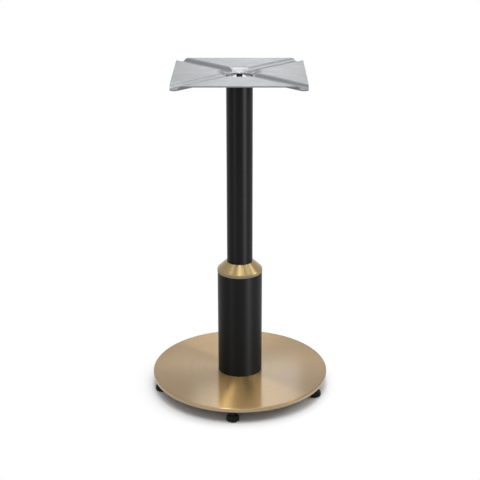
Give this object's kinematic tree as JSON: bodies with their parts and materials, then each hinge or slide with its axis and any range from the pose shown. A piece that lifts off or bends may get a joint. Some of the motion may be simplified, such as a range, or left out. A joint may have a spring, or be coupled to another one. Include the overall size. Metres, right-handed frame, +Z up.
{
  "type": "table base",
  "caption": "Free-standing table base: round brushed disc on black glides, wide black lower sleeve, conical collar, slim black column and a square pressed mounting plate.",
  "frame": {"origin": "on the floor, on the axis of the column", "axes": "+Z up along the column; the front, which the picture shows, is towards -Y; the plate's sides are along X and Y"},
  "size_m": [0.3999, 0.4, 0.732],
  "materials": {
    "brushed_brass": "brushed in fine rings round the axis",
    "turned_brass": "turned, fine lines round the axis",
    "black_tube": "satin black",
    "plain_steel": "machined",
    "ring_plastic": "matt",
    "galvanised_sheet": "galvanised",
    "zinc_hardware": "zinc plated",
    "black_hardware": "black oxide",
    "foot_plastic": "glossy black"
  },
  "bodies": {
    "root": {"base_disc": "brushed_brass", "collar": "turned_brass", "column": "black_tube", "lower_sleeve": "black_tube", "column_foot_plug": "plain_steel", "column_head_plug": "plain_steel", "sleeve_foot_ring": "ring_plastic", "sleeve_head_ring": "ring_plastic", "top_plate": "galvanised_sheet", "top_washer": "zinc_hardware", "top_nut": "black_hardware", "bottom_washer": "zinc_hardware", "bottom_nut": "zinc_hardware", "tie_rod": "zinc_hardware", "foot_1": "foot_plastic", "foot_2": "foot_plastic", "foot_3": "foot_plastic", "foot_4": "foot_plastic", "foot_5": "foot_plastic", "foot_stud_1": "zinc_hardware", "foot_stud_2": "zinc_hardware", "foot_stud_3": "zinc_hardware", "foot_stud_4": "zinc_hardware", "foot_stud_5": "zinc_hardware"}
  },
  "joints": []
}
